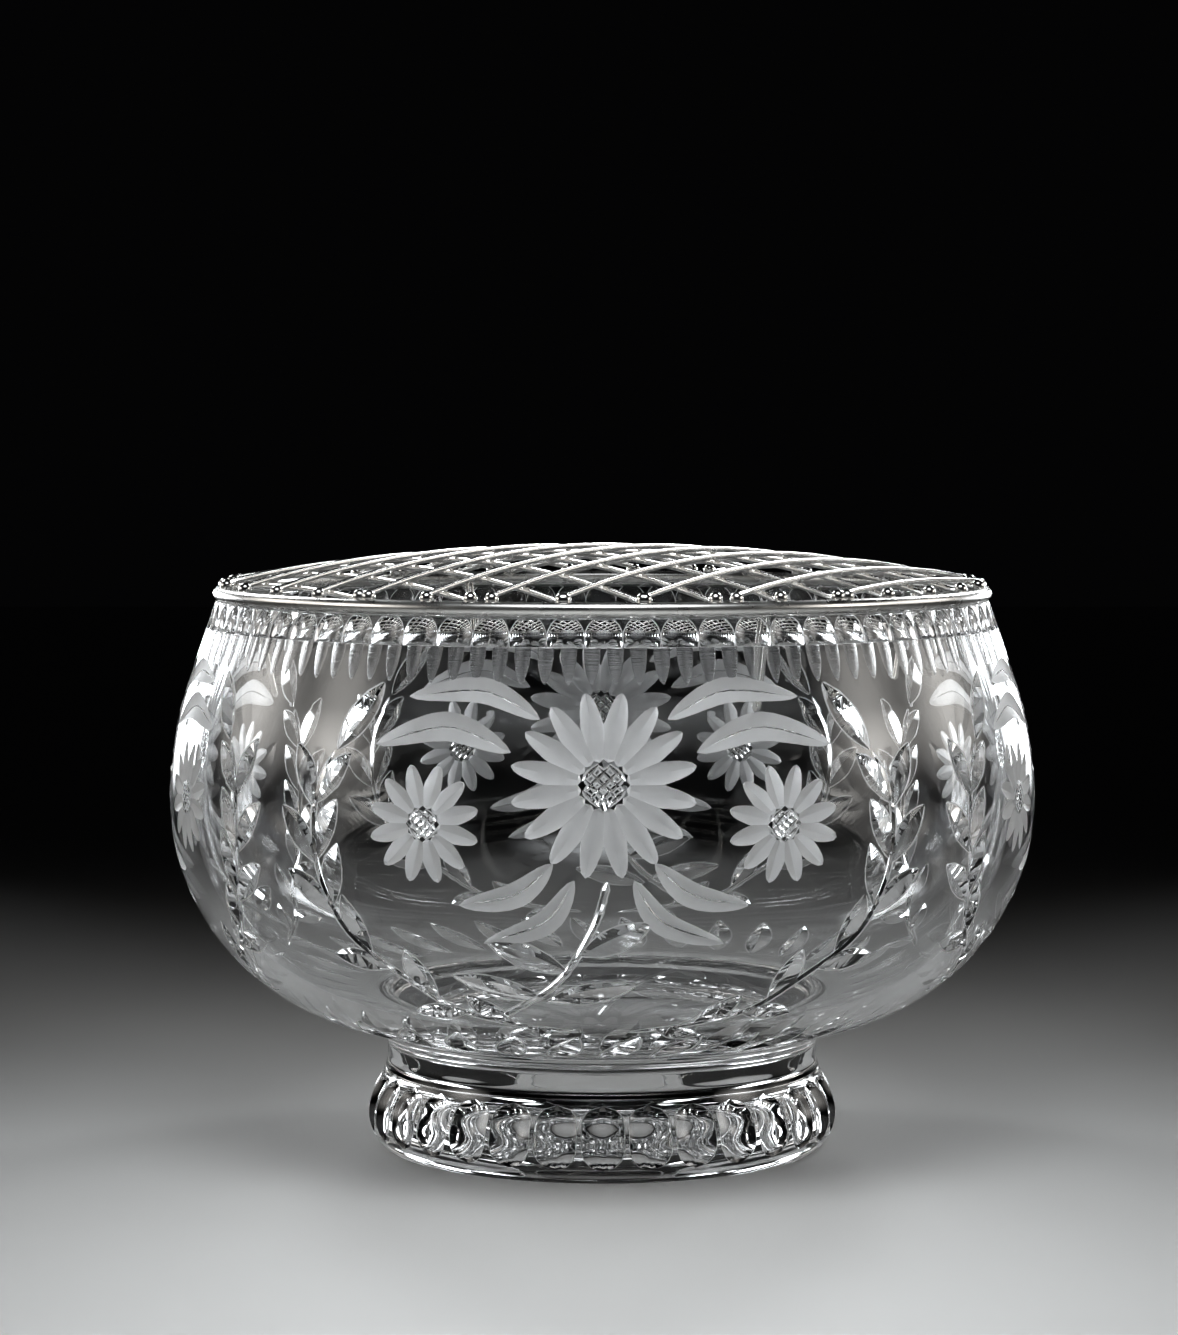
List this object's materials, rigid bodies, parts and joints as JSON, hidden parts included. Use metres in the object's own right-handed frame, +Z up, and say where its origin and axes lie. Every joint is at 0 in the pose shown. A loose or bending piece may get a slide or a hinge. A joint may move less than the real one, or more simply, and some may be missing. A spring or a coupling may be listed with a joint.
{
  "type": "rose bowl vase",
  "caption": "Round footed cut-crystal bowl with a shallow domed wire grille that rests on its rim, held central by spring legs, and lifts off for water and flower stems.",
  "frame": {"origin": "middle of the flat ring face under the foot, on the table", "axes": "+Z up along the bowl's axis, -Y towards the front of the picture, +X to its right"},
  "size_m": [0.23, 0.23, 0.1599],
  "materials": {
    "crystal": "polished lead crystal with wheel-cut facets and matt engraving",
    "silver_plate": "polished silver plate, slightly worn",
    "solder": "silver solder under plate"
  },
  "bodies": {
    "bowl": {"glass_bowl": "crystal", "glass_foot": "crystal"},
    "grille": {"rim_ring": "silver_plate", "solder_beads": "solder", "over_wire_01": "silver_plate", "over_wire_02": "silver_plate", "over_wire_03": "silver_plate", "over_wire_04": "silver_plate", "over_wire_05": "silver_plate", "over_wire_06": "silver_plate", "over_wire_07": "silver_plate", "over_wire_08": "silver_plate", "over_wire_09": "silver_plate", "over_wire_10": "silver_plate", "over_wire_11": "silver_plate", "over_wire_12": "silver_plate", "under_wire_01": "silver_plate", "under_wire_02": "silver_plate", "under_wire_03": "silver_plate", "under_wire_04": "silver_plate", "under_wire_05": "silver_plate", "under_wire_06": "silver_plate", "under_wire_07": "silver_plate", "under_wire_08": "silver_plate", "under_wire_09": "silver_plate", "under_wire_10": "silver_plate", "under_wire_11": "silver_plate", "under_wire_12": "silver_plate", "spring_leg_1": "silver_plate", "spring_leg_2": "silver_plate", "spring_leg_3": "silver_plate", "spring_leg_4": "silver_plate"}
  },
  "joints": [
    {"name": "grille_lift", "type": "slide", "parent": "bowl", "child": "grille", "axis": [0, 0, 1], "range_m": [0, 0.06]}
  ]
}
